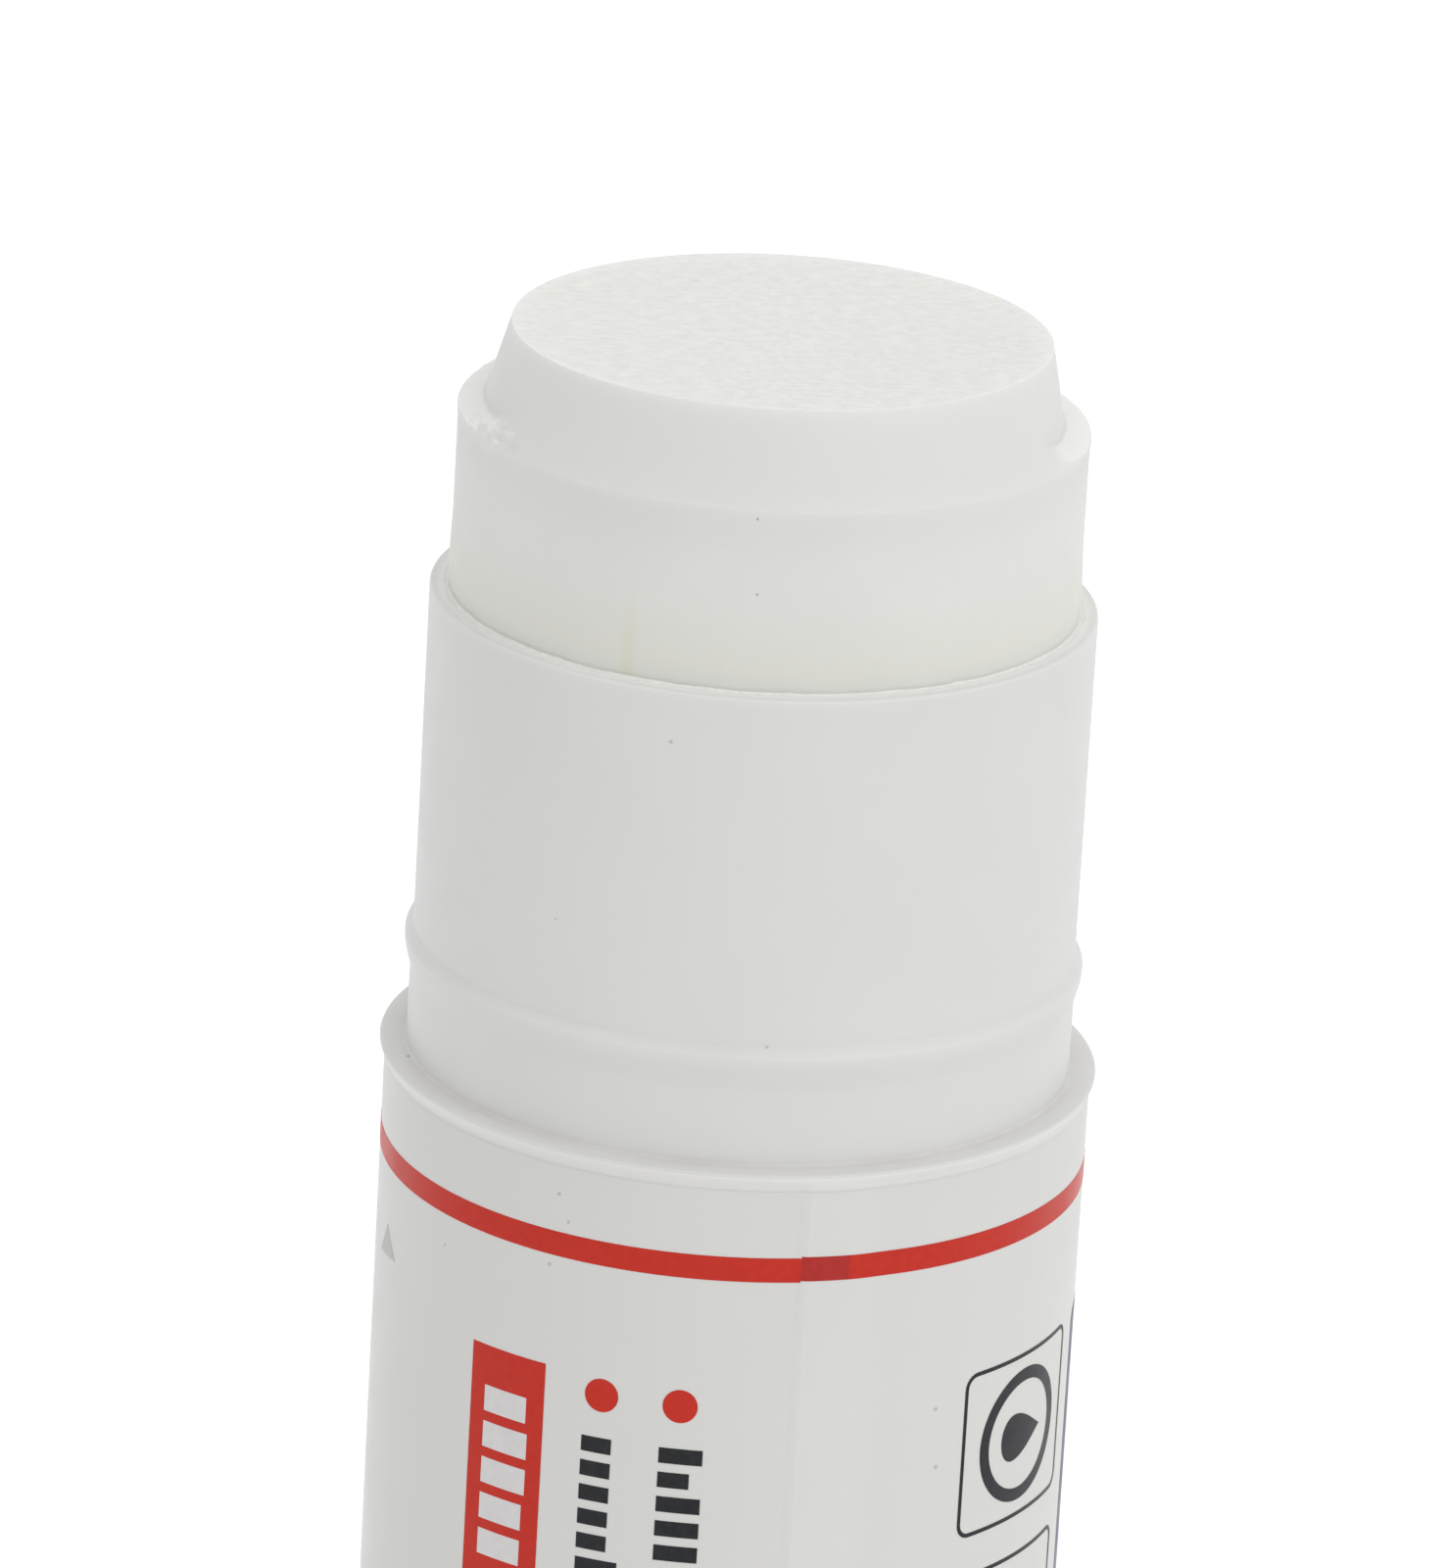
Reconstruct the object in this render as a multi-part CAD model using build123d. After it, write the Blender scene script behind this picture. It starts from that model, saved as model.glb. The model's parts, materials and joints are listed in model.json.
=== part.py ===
from build123d import *
import math
import os

os.makedirs("parts", exist_ok=True)

# Twist-up glue stick, in millimetres. It stands upright on its knob, its axis is +Z through
# the origin, and the resting face of the knob is at zero height. The cap stands beside it.

# Barrel: a straight bore, a label recess between two lips, a shoulder and a thin neck
bore_r = 11.5
barrel_wall = 1.4
lip_out = 0.29
barrel_length = 65.7
top_lip_height = 0.65
foot_lip_height = 1.3
lip_bevel = 0.1
neck_wall = 0.65
neck_height = 17.56
neck_bevel = 0.12

# Snap bead round the neck: abrupt above, a soft ramp below on to a slightly thicker root
bead_up = 2.75
bead_height = 1.85
bead_out = 0.3
bead_ramp = 0.65
bead_step = 0.2
neck_root_out = 0.06

# Guide ribs in the bore, which stop the carrier from turning
rib_count = 3
rib_width = 1.2
rib_height = 0.45
rib_below_rim = 13.0
rib_above_collar = 1.0
rib_clearance = 0.12
rib_first_angle = 30.0

# Label: a printed film whose end laps over its beginning
film = 0.08
film_bond = 0.02
label_margin = 0.04
lap_length = 2.0
lap_start_angle = -78.0

# Glue: a plain column, a narrower moulded tip and a foot that sits in the carrier's cup
glue_clearance = 0.07
glue_height = 58.0
glue_stand_out = 10.0
ledge_width = 1.0
ledge_rise = 0.35
tip_height = 3.27
tip_draft = 0.65
tip_bevel = 0.1
glue_foot_clearance = 0.02

# Carrier: cup above, guide skirt and nut hub below, joined by webs
running_clearance = 0.08
cup_wall = 0.6
cup_height = 3.0
carrier_floor = 1.0
skirt_wall = 0.8
skirt_height = 13.0
hub_wall = 1.2
web_count = 4
web_thickness = 0.9

# Lead screw: one coarse left-hand thread on a core with two flats and a hexagonal foot
lead = 5.0
core_r = 2.6
thread_depth = 1.1
thread_crest = 1.3
thread_root = 2.2
thread_sink = 0.3
thread_run_out = 1.0
nut_turns = 1.0
nut_engaged = 6.0
screw_point = 0.5
screw_across_flats = 3.0
flank_clearance = 0.14
thread_clearance = 0.15
glue_bore_clearance = 0.35
foot_across_flats = 5.2
foot_height = 9.0
foot_fit = 0.02
collar_plate_out = 0.7
collar_plate = 1.0

# Lift: the whole turns it can be wound down and up from the pose in which the tip stands out
turns_down = 2.0
turns_up = 8.8

# Twist knob: a fluted grip, a snap collar that turns in the barrel's foot and a hub
knob_step = 0.29
knob_height = 10.0
knob_gap = 0.3
knob_wall = 1.5
knob_floor = 1.6
knob_bevel = 0.4
collar_height = 4.0
collar_wall = 1.0
snap_up = 1.6
snap_height = 1.1
snap_out = 0.35
snap_clearance = 0.12
knob_hub_wall = 1.5
flute_count = 32
flute_width = 1.1
flute_depth = 0.35
flute_margin = 1.1

# Cap: slides over the neck, snaps on the bead and plugs the bore round the glue's tip
cap_clearance = 0.1
cap_wall = 0.85
cap_headroom = 2.0
cap_top = 1.2
cap_bevel = 0.45
cap_mouth_bevel = 0.15
plug_reach = 3.0
plug_wall = 0.8
plug_clearance = 0.12
cap_beside = 12.0

# How far cuts run past what they cut
overrun = 1.0

# Radii and places that follow from the sizes above
recess_r = bore_r + barrel_wall
lip_r = recess_r + lip_out
neck_r = bore_r + neck_wall
neck_root_r = neck_r + neck_root_out
glue_r = bore_r - glue_clearance
piston_r = bore_r - running_clearance
thread_r = core_r + thread_depth
hub_bore_r = thread_r + thread_clearance
hub_r = hub_bore_r + hub_wall
knob_r = lip_r - knob_step
cap_bore_r = neck_r + cap_clearance
cap_r = cap_bore_r + cap_wall
barrel_foot_z = knob_height + knob_gap
shoulder_z = barrel_foot_z + barrel_length
rim_z = shoulder_z + neck_height
collar_top_z = barrel_foot_z + collar_height
glue_tip_z = rim_z + glue_stand_out
cup_floor_z = glue_tip_z - glue_height
skirt_foot_z = cup_floor_z - skirt_height
lift_down = turns_down * lead
lift_up = turns_up * lead
screw_top_z = skirt_foot_z + lift_up + nut_engaged
thread_foot_z = skirt_foot_z - lift_down - thread_run_out
hub_top_z = collar_top_z


def turned(outline):
    """A solid turned about the stick's axis from (radius, height) points."""
    face = make_face(Plane.XZ * Polyline(*outline, close=True))
    return revolve(face, Axis.Z)


def tube(inner_r, outer_r, foot_z, top_z):
    """A plain ring between two radii and two heights."""
    return turned([(inner_r, foot_z), (outer_r, foot_z), (outer_r, top_z), (inner_r, top_z)])


def disc(radius, foot_z, top_z):
    """A plain round plate or post between two heights."""
    return tube(0, radius, foot_z, top_z)


def bars_round(count, first_angle, inner_r, outer_r, width, foot_z, top_z):
    """Upright bars set evenly round the axis, each from an inner to an outer radius."""
    depth = outer_r - inner_r
    bar = Pos((inner_r + outer_r) / 2, 0, (foot_z + top_z) / 2) * Box(depth, width, top_z - foot_z)
    return [Rot(0, 0, first_angle + 360 / count * turn) * bar for turn in range(count)]


def helical_ridge(foot_r, crest_r, foot_width, crest_width, start_z, height):
    """A left-hand ridge of one start, from a foot radius to a crest radius."""
    section = Polyline(
        (foot_r, -foot_width / 2),
        (crest_r, -crest_width / 2),
        (crest_r, crest_width / 2),
        (foot_r, foot_width / 2),
        close=True,
    )
    path = Helix(pitch=lead, height=height, radius=(foot_r + crest_r) / 2, lefthand=True)
    ridge = sweep(make_face(Plane.XZ * section), path=path, is_frenet=True)
    return Pos(0, 0, start_z) * ridge


def barrel():
    """Tube with the neck, shoulder, label recess, snap bead, snap groove and guide ribs."""
    groove_r = bore_r - running_clearance + snap_out + snap_clearance
    groove_foot_z = barrel_foot_z + snap_up - snap_clearance
    groove_top_z = barrel_foot_z + snap_up + snap_height + snap_clearance
    recess_foot_z = barrel_foot_z + foot_lip_height
    recess_top_z = shoulder_z - top_lip_height
    bead_foot_z = shoulder_z + bead_up
    bead_r = neck_r + bead_out
    shell = turned([
        (bore_r, barrel_foot_z),
        (lip_r - lip_bevel, barrel_foot_z),
        (lip_r, barrel_foot_z + lip_bevel),
        (lip_r, recess_foot_z),
        (recess_r, recess_foot_z),
        (recess_r, recess_top_z),
        (lip_r, recess_top_z),
        (lip_r, shoulder_z - lip_bevel),
        (lip_r - lip_bevel, shoulder_z),
        (neck_root_r, shoulder_z),
        (neck_root_r, bead_foot_z),
        (bead_r, bead_foot_z + bead_ramp),
        (bead_r, bead_foot_z + bead_height - bead_step),
        (neck_r, bead_foot_z + bead_height),
        (neck_r, rim_z - neck_bevel),
        (neck_r - neck_bevel, rim_z),
        (bore_r, rim_z),
        (bore_r, groove_top_z),
        (groove_r, groove_top_z),
        (groove_r, groove_foot_z),
        (bore_r, groove_foot_z),
    ])
    ribs = bars_round(
        rib_count,
        rib_first_angle,
        bore_r - rib_height,
        (bore_r + neck_r) / 2,
        rib_width,
        collar_top_z + rib_above_collar,
        rim_z - rib_below_rim,
    )
    return shell + ribs


def label_wrap():
    """Printed film in the recess, its end lapped over its beginning."""
    foot_z = barrel_foot_z + foot_lip_height + label_margin
    top_z = shoulder_z - top_lip_height - label_margin
    inner_r = recess_r + film_bond
    wrap = tube(inner_r, inner_r + film, foot_z, top_z)
    lap_angle = math.degrees(lap_length / (inner_r + film))
    lap_outline = Polyline(
        (inner_r + film, foot_z),
        (inner_r + film + film, foot_z),
        (inner_r + film + film, top_z),
        (inner_r + film, top_z),
        close=True,
    )
    lap = revolve(make_face(Plane.XZ * lap_outline), Axis.Z, lap_angle)
    return wrap + Rot(0, 0, lap_start_angle) * lap


def glue():
    """Glue column with its narrower tip, a stepped foot, rib grooves and the screw's bore."""
    cup_inner_r = piston_r - cup_wall
    foot_r = cup_inner_r - glue_foot_clearance
    foot_top_z = cup_floor_z + cup_height
    ledge_z = glue_tip_z - tip_height
    tip_root_r = glue_r - ledge_width
    tip_r = tip_root_r - tip_draft
    column = turned([
        (0, cup_floor_z),
        (foot_r, cup_floor_z),
        (foot_r, foot_top_z),
        (glue_r, foot_top_z),
        (glue_r, ledge_z),
        (tip_root_r, ledge_z + ledge_rise),
        (tip_r, glue_tip_z - tip_bevel),
        (tip_r - tip_bevel, glue_tip_z),
        (0, glue_tip_z),
    ])
    column -= bars_round(
        rib_count,
        rib_first_angle,
        bore_r - rib_height - rib_clearance,
        bore_r + overrun,
        rib_width + rib_clearance * 2,
        cup_floor_z - overrun,
        rim_z - rib_below_rim + lift_down + rib_clearance,
    )
    bore_top_z = screw_top_z + lift_down + glue_bore_clearance
    return column - disc(thread_r + glue_bore_clearance, cup_floor_z - overrun, bore_top_z)


def nut_ridge():
    """Inside thread of the carrier's hub, which lies in the middle of the screw's groove."""
    crest_r = core_r + thread_clearance
    slope = (thread_root - thread_crest) / (thread_r - core_r)
    groove_at_core = lead - thread_root
    groove_at_hub = groove_at_core + slope * (hub_bore_r - core_r)
    foot_width = groove_at_hub - flank_clearance * 2
    crest_width = groove_at_core + slope * thread_clearance - flank_clearance * 2
    start_z = thread_foot_z + lead * (math.ceil(turns_down) + 1 / 2)
    sunk_width = foot_width + slope * thread_sink
    ridge = helical_ridge(
        hub_bore_r + thread_sink, crest_r, sunk_width, crest_width, start_z, lead * nut_turns
    )
    return ridge & disc(hub_r, skirt_foot_z, cup_floor_z)


def carrier_cup():
    """Piston that carries the glue: cup, skirt with rib notches, webs and threaded hub."""
    cup_top_z = cup_floor_z + cup_height
    floor_foot_z = cup_floor_z - carrier_floor
    cup = tube(piston_r - cup_wall, piston_r, floor_foot_z, cup_top_z)
    floor = tube(hub_bore_r, piston_r, floor_foot_z, cup_floor_z)
    skirt = tube(piston_r - skirt_wall, piston_r, skirt_foot_z, cup_floor_z)
    hub = tube(hub_bore_r, hub_r, skirt_foot_z, cup_floor_z)
    webs = bars_round(
        web_count,
        0,
        (hub_bore_r + hub_r) / 2,
        piston_r - skirt_wall / 2,
        web_thickness,
        skirt_foot_z + skirt_wall,
        floor_foot_z + carrier_floor / 2,
    )
    body = cup + floor + skirt + hub + webs
    body -= bars_round(
        rib_count,
        rib_first_angle,
        bore_r - rib_height - rib_clearance,
        bore_r + overrun,
        rib_width + rib_clearance * 2,
        skirt_foot_z - overrun,
        cup_top_z + overrun,
    )
    return body + nut_ridge()


def lead_screw():
    """Spindle: thread on the two round sides, plate that rests on the knob's hub, foot."""
    shaft = disc(core_r, hub_top_z, screw_top_z)
    shaft = chamfer(shaft.edges().group_by(Axis.Z)[-1], screw_point)
    flats = Pos(0, 0, hub_top_z) * Box(
        thread_r + thread_r + overrun,
        screw_across_flats,
        screw_top_z - hub_top_z + overrun,
        align=(Align.CENTER, Align.CENTER, Align.MIN),
    )
    plate = disc(thread_r + collar_plate_out, hub_top_z, hub_top_z + collar_plate)
    foot = Pos(0, 0, hub_top_z - foot_height) * extrude(
        RegularPolygon(foot_across_flats / 2, 6, major_radius=False), foot_height
    )
    thread = helical_ridge(
        core_r - thread_sink,
        thread_r,
        thread_root + (thread_root - thread_crest) / (thread_r - core_r) * thread_sink,
        thread_crest,
        thread_foot_z,
        screw_top_z - thread_foot_z - thread_root - screw_point,
    )
    return ((shaft + thread) & flats) + plate + foot


def twist_knob():
    """Turning base: fluted grip, flat foot, snap collar and hexagonal socket."""
    collar_r = bore_r - running_clearance
    collar_inner_r = collar_r - collar_wall
    snap_foot_z = barrel_foot_z + snap_up
    snap_r = collar_r + snap_out
    grip_inner_r = knob_r - flute_depth - knob_wall
    shell = turned([
        (0, 0),
        (knob_r - knob_bevel, 0),
        (knob_r, knob_bevel),
        (knob_r, knob_height - knob_bevel),
        (knob_r - knob_bevel, knob_height),
        (collar_r, knob_height),
        (collar_r, snap_foot_z),
        (snap_r, snap_foot_z),
        (snap_r, snap_foot_z + snap_height / 3),
        (collar_r, snap_foot_z + snap_height),
        (collar_r, collar_top_z),
        (collar_inner_r, collar_top_z),
        (collar_inner_r, knob_height),
        (grip_inner_r, knob_height - knob_wall),
        (grip_inner_r, knob_floor),
        (0, knob_floor),
    ])
    flutes = bars_round(
        flute_count,
        0,
        knob_r - flute_depth,
        knob_r + overrun,
        flute_width,
        flute_margin,
        knob_height - flute_margin,
    )
    hub_outer_r = foot_across_flats / math.sqrt(3) + foot_fit + knob_hub_wall
    hub = disc(hub_outer_r, knob_floor / 2, hub_top_z)
    socket_foot_z = hub_top_z - foot_height - foot_fit
    socket = Pos(0, 0, socket_foot_z) * extrude(
        RegularPolygon(foot_across_flats / 2 + foot_fit, 6, major_radius=False),
        hub_top_z - socket_foot_z + overrun,
    )
    return shell - flutes + hub - socket


def cap():
    """Cap with a snap groove and a plug ring, mouth down, at the origin."""
    inside_z = neck_height + cap_headroom
    top_z = inside_z + cap_top
    mouth_r = neck_root_r + cap_clearance
    groove_r = neck_r + bead_out + cap_clearance
    groove_foot_z = bead_up - cap_clearance
    groove_top_z = bead_up + bead_height + cap_clearance
    plug_foot_z = neck_height - plug_reach
    plug_r = bore_r - plug_clearance
    return turned([
        (mouth_r, 0),
        (cap_r - cap_mouth_bevel, 0),
        (cap_r, cap_mouth_bevel),
        (cap_r, top_z - cap_bevel),
        (cap_r - cap_bevel, top_z),
        (0, top_z),
        (0, inside_z),
        (plug_r - plug_wall, inside_z),
        (plug_r - plug_wall, plug_foot_z),
        (plug_r, plug_foot_z),
        (plug_r, inside_z),
        (cap_bore_r, inside_z),
        (cap_bore_r, groove_top_z),
        (groove_r, groove_top_z),
        (groove_r, groove_foot_z),
        (mouth_r, groove_foot_z),
    ])


def cap_set_down():
    """The cap where it stands, taken off and set down beside the stick."""
    return Pos(lip_r + cap_beside + cap_r, 0, 0) * cap()


nodes = {
    "barrel": barrel(),
    "label_wrap": label_wrap(),
    "glue": glue(),
    "carrier_cup": carrier_cup(),
    "lead_screw": lead_screw(),
    "twist_knob": twist_knob(),
    "cap": cap_set_down(),
}

for name, shape in nodes.items():
    export_step(shape, f"parts/{name}.step")

print(f"tip {glue_tip_z:.2f}  rim {rim_z:.2f}  cup floor {cup_floor_z:.2f}  skirt {skirt_foot_z:.2f}")
print(f"screw top {screw_top_z:.2f}  thread foot {thread_foot_z:.2f}  down {lift_down}  up {lift_up}")
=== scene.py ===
import bmesh
import bpy
import json
import math
import random
from mathutils import Matrix, Vector, noise


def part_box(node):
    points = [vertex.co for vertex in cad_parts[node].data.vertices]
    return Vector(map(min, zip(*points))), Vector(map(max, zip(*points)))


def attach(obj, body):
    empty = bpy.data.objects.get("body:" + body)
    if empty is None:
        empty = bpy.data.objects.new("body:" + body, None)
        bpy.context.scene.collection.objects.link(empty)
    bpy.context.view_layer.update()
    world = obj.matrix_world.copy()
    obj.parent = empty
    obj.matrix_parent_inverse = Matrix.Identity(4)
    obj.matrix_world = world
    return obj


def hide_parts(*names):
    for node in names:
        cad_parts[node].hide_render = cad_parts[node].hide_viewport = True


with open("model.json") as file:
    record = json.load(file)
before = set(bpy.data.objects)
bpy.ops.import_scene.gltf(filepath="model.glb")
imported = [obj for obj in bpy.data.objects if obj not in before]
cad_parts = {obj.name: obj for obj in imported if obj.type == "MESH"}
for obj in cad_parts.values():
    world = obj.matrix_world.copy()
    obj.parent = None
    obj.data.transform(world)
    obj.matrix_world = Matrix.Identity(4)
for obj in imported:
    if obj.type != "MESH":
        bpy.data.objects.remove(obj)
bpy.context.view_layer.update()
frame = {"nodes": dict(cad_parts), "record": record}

# Twist-up glue stick. Sizes are in millimetres until a mesh is made. A place round the stick is
# an angle in degrees from the photographed front (-Y), positive towards +X. Heights on the neck
# and the label are counted from the shoulder.
MM = 0.001
SEED = 11


def node_top(node, axis):
    """The highest value of a CAD node's box along an axis, in millimetres."""
    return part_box(node)[1][axis] / MM


def node_foot(node, axis):
    """The lowest value of a CAD node's box along an axis, in millimetres."""
    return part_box(node)[0][axis] / MM


# Barrel
top_lip_height = 0.65
foot_lip_height = 1.3
label_margin = 0.04
barrel_steps = 360
lip_out = 0.29
lip_round = 0.05
lip_proud = 0.004
lip_flare_height = 0.55
neck_wall = 0.65
neck_round = 0.12
rim_inner_round = 0.015
neck_root_out = 0.06
neck_root_fillet = 0.14
bead_up = 2.75
bead_height = 1.85
bead_out = 0.3
bead_ramp = 1.25
bead_step = 0.5
rib_count = 3
rib_first_angle = 120.0
rib_width = 1.2
rib_height = 0.45
rib_below_rim = 13.0
rib_up = 5.0
rib_end_slope = 0.01
snap_groove_out = 0.39
snap_groove_up = 1.48
snap_groove_height = 1.34
lip_r = node_top("barrel", 0)
recess_r = lip_r - lip_out
rim_z = node_top("barrel", 2)
barrel_foot_z = node_foot("barrel", 2)
shoulder_z = node_top("label_wrap", 2) + label_margin + top_lip_height
neck_r = next(m for m in frame["record"]["mounts"] if m["name"] == "neck")["dims"]["r_mm"]
neck_root_r = neck_r + neck_root_out
bore_r = neck_r - neck_wall

# Label
film = 0.08
film_bond = 0.02
lap_from = 11.9
lap_to = 19.7
lap_drape = 7.0
lap_rise_from = -0.5
lap_rise_to = 0.9
rise_angles = [lap_from + lap_rise_from, lap_from + lap_rise_to]
label_r = recess_r + film_bond + film
label_top_z = node_top("label_wrap", 2)
label_foot_z = node_foot("label_wrap", 2)
film_edge_gap = 0.003
film_bevel = 0.02
label_steps = 360
ink = 0.012
ink_sunk = 0.004
ink_cut_angle = 1.5

# Glue
glue_steps = 480
top_steps = 64
glue_r = node_top("glue", 0)
tip_z = node_top("glue", 2)
glue_foot_z = node_foot("glue", 2)
tip_r = 9.79
tip_lean = 0.13
tip_round = 0.05
tip_height = 3.27
ledge_z = tip_z - tip_height
root_r = 10.42
root_fillet = 0.3
ledge_rise = 0.3
ledge_r = 11.46
ledge_round = 0.08
ledge_burr = 0.3
burr_margin = 0.1
swollen_r = 11.499
swell_up = 3.0
swell_foot_up = 0.6
filled_left = (-77.0, -50.0)
filled_right = (55.0, 78.0)
smear_bulge = 0.1
foot_step = 0.63
foot_height = 3.0
rib_clearance = 0.12
groove_above_ribs = 10.0
groove_top_z = rim_z - rib_below_rim + groove_above_ribs
groove_end_slope = 0.02
screw_hole_r = 4.05
screw_hole_depth = 47.35
finer_times = 2.3
top_skin = 0.01
grain_fade_from = 0.4
grain_fade_to = 0.05
grain_depth = 0.045
grain_size = 0.34
grain_finer_share = 0.7
grain_down = 1.2
sag_depth = 0.02
sag_size = 4.0
weathered_down = 1.2
ledge_middle_up = 0.1
ledge_fade_from = 0.3
ledge_fade_to = 0.9
ledge_inner_from = -0.1
ledge_inner_to = 0.3
ridge_depth = 0.035
ridge_size = 0.5
ridge_slant = 0.3
rough_depth = 0.012
rough_size = 1.1
tear_from = (-86.0, -76.0)
tear_to = (-56.0, -48.0)
tear_inner_from = 0.2
tear_inner_to = 0.6
tear_out_share = 0.6
tear_depth = 0.1
tear_size = 0.5
tear_finer_share = 0.6
residue_width = 0.14
residue_height = 0.09
residue_size = 1.3
residue_share = 0.45
residue_finer_size = 0.4
residue_finer_share = 0.25
residue_sunk = 0.02
residue_steps = 360


def around(angle, radius, height):
    """The point at an angle from the front, a radius and a height, in metres."""
    turn = math.radians(angle)
    return Vector((radius * math.sin(turn), -radius * math.cos(turn), height)) * MM


def line(start, end, steps):
    """Points from start up to but not at end, in even steps."""
    return [
        (start[0] + (end[0] - start[0]) * k / steps, start[1] + (end[1] - start[1]) * k / steps)
        for k in range(steps)
    ]


def bend(centre, radius, first, last, steps):
    """Points on an arc about a centre, from the first angle to the last, both included."""
    return [
        (
            centre[0] + radius * math.cos(math.radians(first + (last - first) * k / steps)),
            centre[1] + radius * math.sin(math.radians(first + (last - first) * k / steps)),
        )
        for k in range(steps + 1)
    ]


def smooth_step(low, high, value):
    """0 below low, 1 above high and a soft rise between them."""
    share = min(max((value - low) / (high - low), 0.0), 1.0)
    return share * share * (3 - 2 * share)


def ease(start, end, steps):
    """Points on a soft S from start to end, both included."""
    return [
        (
            start[0] + (end[0] - start[0]) * smooth_step(0, steps, k),
            start[1] + (end[1] - start[1]) * k / steps,
        )
        for k in range(steps + 1)
    ]


def ring_angles(count, edges=(), pair=0.02, spare=0.1):
    """Even angles round the stick, with a close pair at each edge so that the edge is crisp."""
    even = [360.0 * k / count for k in range(count)]
    pairs = [edge % 360 + side for edge in edges for side in (-pair, pair)]
    clear = [a for a in even if all(abs(a - p) > spare for p in pairs)]
    return sorted(clear + pairs)


def finish_mesh(name, bm, material, crease=35.0, merge=0.0002):
    """Makes an object of a bmesh, smooth but for edges sharper than the crease."""
    bmesh.ops.remove_doubles(bm, verts=bm.verts[:], dist=merge * MM)
    bmesh.ops.recalc_face_normals(bm, faces=bm.faces[:])
    mesh = bpy.data.meshes.new(name)
    bm.to_mesh(mesh)
    bm.free()
    mesh.shade_smooth()
    mesh.set_sharp_from_angle(angle=math.radians(crease))
    mesh.materials.append(material)
    piece = bpy.data.objects.new(name, mesh)
    bpy.context.scene.collection.objects.link(piece)
    return piece


def lathe(name, angles, section_at, material):
    """A solid of closed sections, one at each angle, each a list of (radius, height) points."""
    bm = bmesh.new()
    sections = [section_at(angle) for angle in angles]
    rings = [
        [bm.verts.new(around(angle, r, z)) for r, z in section]
        for angle, section in zip(angles, sections)
    ]
    for here, there, points in zip(rings, rings[1:] + rings[:1], sections):
        for k in range(len(here)):
            after = (k + 1) % len(here)
            if points[k][0] or points[after][0]:
                bm.faces.new((here[k], there[k], there[after], here[after]))
    return finish_mesh(name, bm, material)


def in_groove(angle, half_width, radius):
    """True where an angle lies within one of the guide ribs' widths."""
    half = math.degrees(half_width / radius)
    return any(
        abs((angle - rib_first_angle - 360 / rib_count * k + 180) % 360 - 180) < half
        for k in range(rib_count)
    )


def groove_edges(half_width, radius):
    """The angles of both sides of each guide rib."""
    half = math.degrees(half_width / radius)
    middles = [rib_first_angle + 360 / rib_count * k for k in range(rib_count)]
    return [middle + side * half for middle in middles for side in (-1, 1)]


# Materials
def value(node, **settings):
    """Sets a node's inputs by name, with spaces written as underscores."""
    for name, setting in settings.items():
        node.inputs[name.replace("_", " ")].default_value = setting
    return node


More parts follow.
